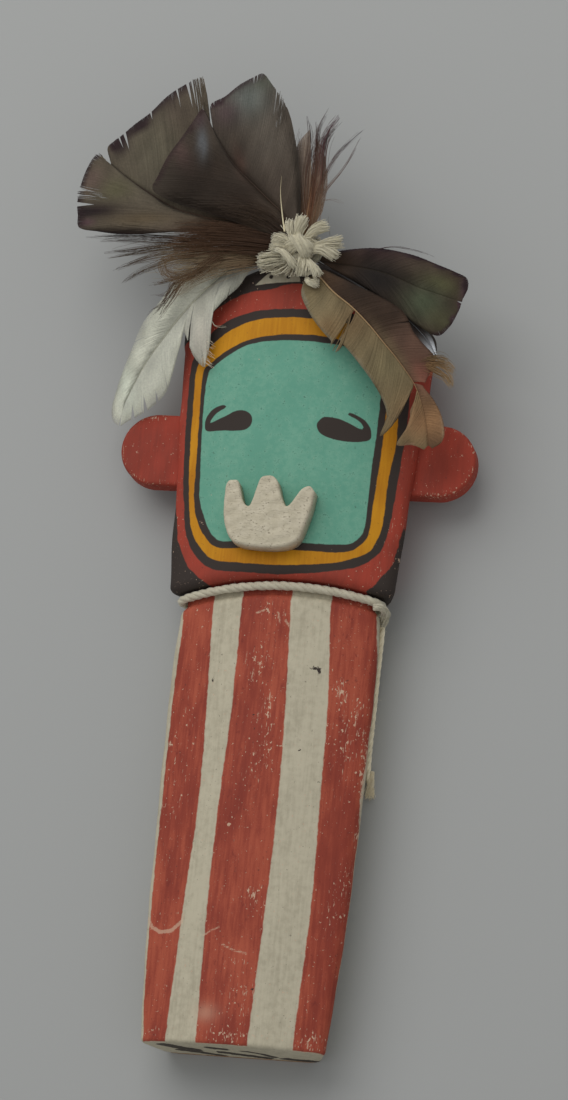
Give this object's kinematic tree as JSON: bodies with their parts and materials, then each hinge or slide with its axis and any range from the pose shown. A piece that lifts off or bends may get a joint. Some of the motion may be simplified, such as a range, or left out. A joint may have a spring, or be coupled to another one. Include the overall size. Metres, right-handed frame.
{
  "type": "kachina doll",
  "caption": "Flat carved wooden cradle doll with a painted face, side ears, striped body, a string round its neck and a small fan of feathers tied at its head.",
  "frame": {"origin": "the middle of the doll's flat back, on the surface it lies on", "axes": "+Z out through the doll's front, +Y from its foot to its head, +X to the viewer's right of its face"},
  "size_m": [0.1073, 0.2463, 0.0319],
  "materials": {
    "painted_wood": "matte mineral paint in red, white, black, yellow and blue-green, worn",
    "white_paint": "matte white paint on wood",
    "cotton_string": "twisted cotton twine",
    "loose_cotton": "frayed cotton strands",
    "brown_feather": "brown and olive feather with a dark edge",
    "dark_feather": "dark feather with a blue-grey sheen",
    "wispy_feather": "thin reddish brown barbs",
    "bronze_feather": "dark bronze-green feather",
    "tan_feather": "tan and brown feather",
    "down": "loose brown down",
    "white_feather": "greenish white feather"
  },
  "bodies": {
    "root": {"wooden_figure": "painted_wood", "mouth_piece": "white_paint", "neck_string": "cotton_string", "neck_string_tail": "cotton_string", "feather_tie": "loose_cotton", "brown_feather_left": "brown_feather", "brown_feather_top": "dark_feather", "wispy_feather": "wispy_feather", "bronze_feather": "bronze_feather", "tan_feather": "tan_feather", "downy_feather": "down", "white_plume": "white_feather", "small_white_feather": "white_feather"}
  },
  "joints": []
}
